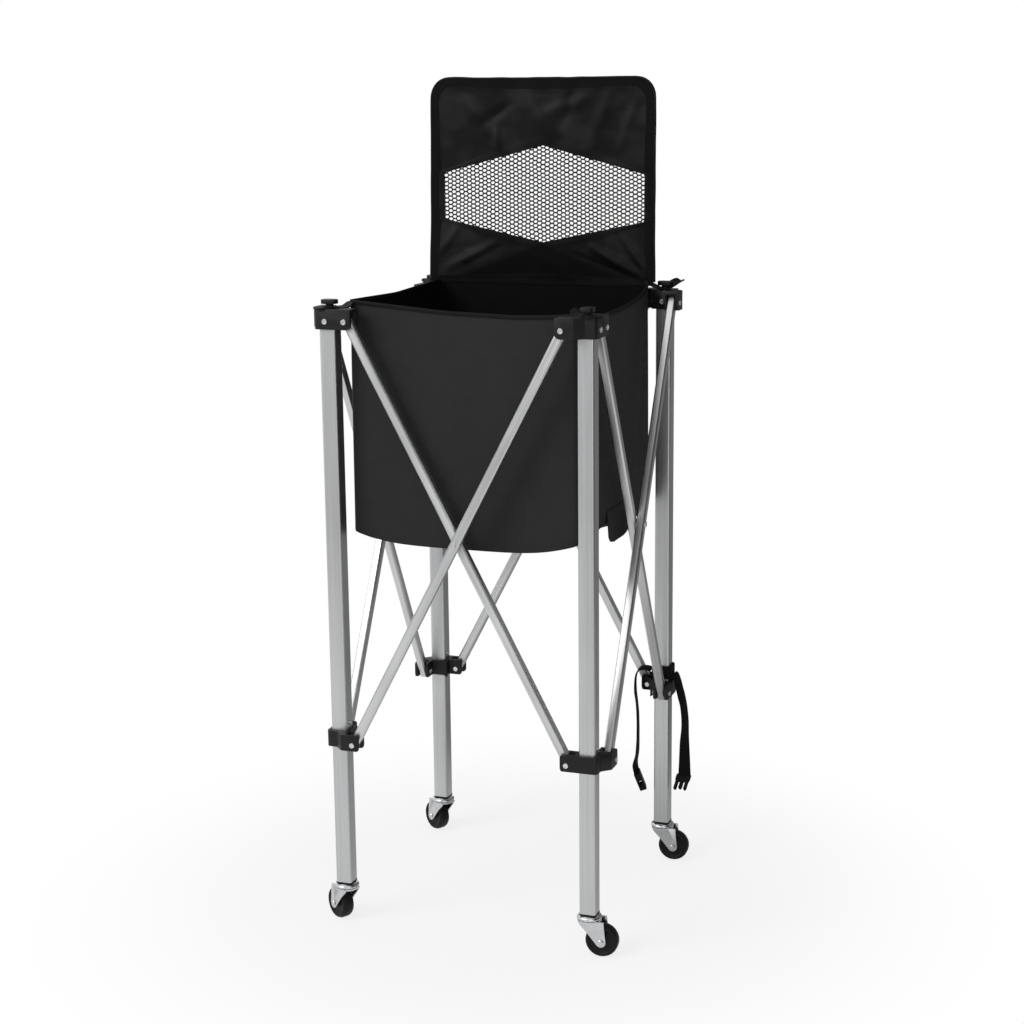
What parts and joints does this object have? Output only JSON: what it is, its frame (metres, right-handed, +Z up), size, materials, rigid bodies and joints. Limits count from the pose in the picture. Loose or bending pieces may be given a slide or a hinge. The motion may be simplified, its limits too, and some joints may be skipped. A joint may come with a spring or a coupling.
{
  "type": "folding sports equipment trolley",
  "caption": "Folding ball and equipment trolley: square aluminium legs on castors, scissor arms in every side, and a soft black bag with a lid that has a net window.",
  "frame": {"origin": "centre of the square of the four legs, on the floor under the wheels", "axes": "+Z up along the legs, +X to the right and +Y to the back as seen from the bag's front; the lid is hinged along the back side"},
  "size_m": [0.3482, 0.3312, 0.9209],
  "materials": {
    "leg_aluminium": "satin",
    "arm_aluminium": "satin",
    "moulded_black": "satin",
    "wheel_black": "gloss",
    "zinc": "bright",
    "bag_fabric": "matt",
    "lid_fabric": "satin",
    "net": "matt",
    "piping": "matt",
    "webbing": "matt",
    "buckle": "satin"
  },
  "bodies": {
    "fl_leg": {"fl_leg_tube": "leg_aluminium", "fl_leg_plug": "moulded_black", "fl_castor_crown": "zinc", "fl_top_bracket": "moulded_black", "fl_bag_loop": "webbing", "bag_front": "bag_fabric", "bag_left": "bag_fabric", "bag_floor": "bag_fabric"},
    "fr_leg": {"fr_leg_tube": "leg_aluminium", "fr_leg_plug": "moulded_black", "fr_castor_crown": "zinc", "fr_top_bracket": "moulded_black", "fr_bag_loop": "webbing", "bag_right": "bag_fabric", "bag_side_tab": "bag_fabric"},
    "br_leg": {"br_leg_tube": "leg_aluminium", "br_leg_plug": "moulded_black", "br_castor_crown": "zinc", "br_top_bracket": "moulded_black", "br_bag_loop": "webbing", "strap_band": "webbing", "strap_tail_left": "webbing", "strap_tail_right": "webbing", "strap_buckle_socket": "buckle", "strap_buckle_prongs": "buckle"},
    "bl_leg": {"bl_leg_tube": "leg_aluminium", "bl_leg_plug": "moulded_black", "bl_castor_crown": "zinc", "bl_top_bracket": "moulded_black", "bl_bag_loop": "webbing", "bag_back": "bag_fabric"},
    "lid": {"lid_panel": "lid_fabric", "lid_net": "net", "lid_piping": "piping"},
    "fl_sleeve": {"fl_sleeve": "moulded_black"},
    "fl_castor": {"fl_castor_fork": "zinc", "fl_castor_axle": "zinc"},
    "fl_wheel": {"fl_wheel": "wheel_black"},
    "fr_sleeve": {"fr_sleeve": "moulded_black"},
    "fr_castor": {"fr_castor_fork": "zinc", "fr_castor_axle": "zinc"},
    "fr_wheel": {"fr_wheel": "wheel_black"},
    "br_sleeve": {"br_sleeve": "moulded_black"},
    "br_castor": {"br_castor_fork": "zinc", "br_castor_axle": "zinc"},
    "br_wheel": {"br_wheel": "wheel_black"},
    "bl_sleeve": {"bl_sleeve": "moulded_black"},
    "bl_castor": {"bl_castor_fork": "zinc", "bl_castor_axle": "zinc"},
    "bl_wheel": {"bl_wheel": "wheel_black"},
    "front_inner_arm": {"front_inner_arm": "arm_aluminium"},
    "front_outer_arm": {"front_outer_arm": "arm_aluminium"},
    "right_inner_arm": {"right_inner_arm": "arm_aluminium"},
    "right_outer_arm": {"right_outer_arm": "arm_aluminium"},
    "back_inner_arm": {"back_inner_arm": "arm_aluminium"},
    "back_outer_arm": {"back_outer_arm": "arm_aluminium"},
    "left_inner_arm": {"left_inner_arm": "arm_aluminium"},
    "left_outer_arm": {"left_outer_arm": "arm_aluminium"}
  },
  "joints": [
    {"name": "fold", "type": "hinge", "parent": "fl_leg", "child": "front_inner_arm", "pos_m": [-0.1205, -0.142, 0.672], "axis": [0, 1, 0], "range_deg": [0, 24.5], "deforming": ["bag_front", "bag_back", "bag_left", "bag_right", "bag_floor", "bag_side_tab", "lid_panel", "lid_net", "lid_piping"]},
    {"name": "front_crossing", "type": "hinge", "parent": "front_inner_arm", "child": "front_outer_arm", "pos_m": [0, -0.142, 0.443], "axis": [0, 1, 0], "range_deg": [-49.5, 0]},
    {"name": "front_outer_top_pivot", "type": "hinge", "parent": "front_outer_arm", "child": "fr_leg", "pos_m": [0.1205, -0.142, 0.672], "axis": [0, 1, 0], "range_deg": [0, 25]},
    {"name": "fl_sleeve_pivot", "type": "hinge", "parent": "front_outer_arm", "child": "fl_sleeve", "pos_m": [-0.1205, -0.142, 0.214], "axis": [0, 1, 0], "range_deg": [0, 25]},
    {"name": "fr_sleeve_pivot", "type": "hinge", "parent": "front_inner_arm", "child": "fr_sleeve", "pos_m": [0.1205, -0.142, 0.214], "axis": [0, 1, 0], "range_deg": [-25, 0]},
    {"name": "right_inner_top_pivot", "type": "hinge", "parent": "fr_leg", "child": "right_inner_arm", "pos_m": [0.142, -0.1205, 0.672], "axis": [-1, 0, 0], "range_deg": [0, 25]},
    {"name": "right_crossing", "type": "hinge", "parent": "right_inner_arm", "child": "right_outer_arm", "pos_m": [0.142, 0, 0.443], "axis": [-1, 0, 0], "range_deg": [-49.5, 0]},
    {"name": "right_outer_top_pivot", "type": "hinge", "parent": "right_outer_arm", "child": "br_leg", "pos_m": [0.142, 0.1205, 0.672], "axis": [-1, 0, 0], "range_deg": [0, 25]},
    {"name": "br_sleeve_pivot", "type": "hinge", "parent": "right_inner_arm", "child": "br_sleeve", "pos_m": [0.142, 0.1205, 0.214], "axis": [-1, 0, 0], "range_deg": [-25, 0]},
    {"name": "left_outer_top_pivot", "type": "hinge", "parent": "fl_leg", "child": "left_outer_arm", "pos_m": [-0.142, -0.1205, 0.672], "axis": [1, 0, 0], "range_deg": [-25, 0]},
    {"name": "left_crossing", "type": "hinge", "parent": "left_outer_arm", "child": "left_inner_arm", "pos_m": [-0.142, 0, 0.443], "axis": [1, 0, 0], "range_deg": [0, 49.5]},
    {"name": "left_inner_top_pivot", "type": "hinge", "parent": "left_inner_arm", "child": "bl_leg", "pos_m": [-0.142, 0.1205, 0.672], "axis": [1, 0, 0], "range_deg": [-25, 0]},
    {"name": "bl_sleeve_pivot", "type": "hinge", "parent": "left_outer_arm", "child": "bl_sleeve", "pos_m": [-0.142, 0.1205, 0.214], "axis": [1, 0, 0], "range_deg": [0, 25]},
    {"name": "back_outer_top_pivot", "type": "hinge", "parent": "bl_leg", "child": "back_outer_arm", "pos_m": [-0.1205, 0.142, 0.672], "axis": [0, -1, 0], "range_deg": [-25, 0]},
    {"name": "back_crossing", "type": "hinge", "parent": "back_outer_arm", "child": "back_inner_arm", "pos_m": [0, 0.142, 0.443], "axis": [0, -1, 0], "range_deg": [0, 49.5]},
    {"name": "fl_castor_swivel", "type": "hinge", "parent": "fl_leg", "child": "fl_castor", "pos_m": [-0.142, -0.142, 0.045], "axis": [0, 0, 1], "continuous": true},
    {"name": "fr_castor_swivel", "type": "hinge", "parent": "fr_leg", "child": "fr_castor", "pos_m": [0.142, -0.142, 0.045], "axis": [0, 0, 1], "continuous": true},
    {"name": "br_castor_swivel", "type": "hinge", "parent": "br_leg", "child": "br_castor", "pos_m": [0.142, 0.142, 0.045], "axis": [0, 0, 1], "continuous": true},
    {"name": "bl_castor_swivel", "type": "hinge", "parent": "bl_leg", "child": "bl_castor", "pos_m": [-0.142, 0.142, 0.045], "axis": [0, 0, 1], "continuous": true},
    {"name": "fl_wheel_spin", "type": "hinge", "parent": "fl_castor", "child": "fl_wheel", "pos_m": [-0.15374, -0.13437, 0.01785], "axis": [-0.5446, -0.8387, 0], "continuous": true},
    {"name": "fr_wheel_spin", "type": "hinge", "parent": "fr_castor", "child": "fr_wheel", "pos_m": [0.15595, -0.14078, 0.01785], "axis": [-0.0872, 0.9962, 0], "continuous": true},
    {"name": "br_wheel_spin", "type": "hinge", "parent": "br_castor", "child": "br_wheel", "pos_m": [0.15595, 0.14322, 0.01785], "axis": [-0.0872, 0.9962, 0], "continuous": true},
    {"name": "bl_wheel_spin", "type": "hinge", "parent": "bl_castor", "child": "bl_wheel", "pos_m": [-0.15374, 0.14963, 0.01785], "axis": [-0.5446, -0.8387, 0], "continuous": true},
    {"name": "lid_hinge", "type": "hinge", "parent": "bl_leg", "child": "lid", "pos_m": [0, 0.1269, 0.691], "axis": [1, 0, 0], "range_deg": [0, 92]}
  ],
  "couplings": [
    {"joint": "front_crossing", "follows": "fold", "ratio": -2},
    {"joint": "front_outer_top_pivot", "follows": "fold", "ratio": 1},
    {"joint": "fl_sleeve_pivot", "follows": "fold", "ratio": 1},
    {"joint": "fr_sleeve_pivot", "follows": "fold", "ratio": -1},
    {"joint": "right_inner_top_pivot", "follows": "fold", "ratio": 1},
    {"joint": "right_crossing", "follows": "fold", "ratio": -2},
    {"joint": "right_outer_top_pivot", "follows": "fold", "ratio": 1},
    {"joint": "br_sleeve_pivot", "follows": "fold", "ratio": -1},
    {"joint": "left_outer_top_pivot", "follows": "fold", "ratio": -1},
    {"joint": "left_crossing", "follows": "fold", "ratio": 2},
    {"joint": "left_inner_top_pivot", "follows": "fold", "ratio": -1},
    {"joint": "bl_sleeve_pivot", "follows": "fold", "ratio": 1},
    {"joint": "back_outer_top_pivot", "follows": "fold", "ratio": -1},
    {"joint": "back_crossing", "follows": "fold", "ratio": 2}
  ]
}
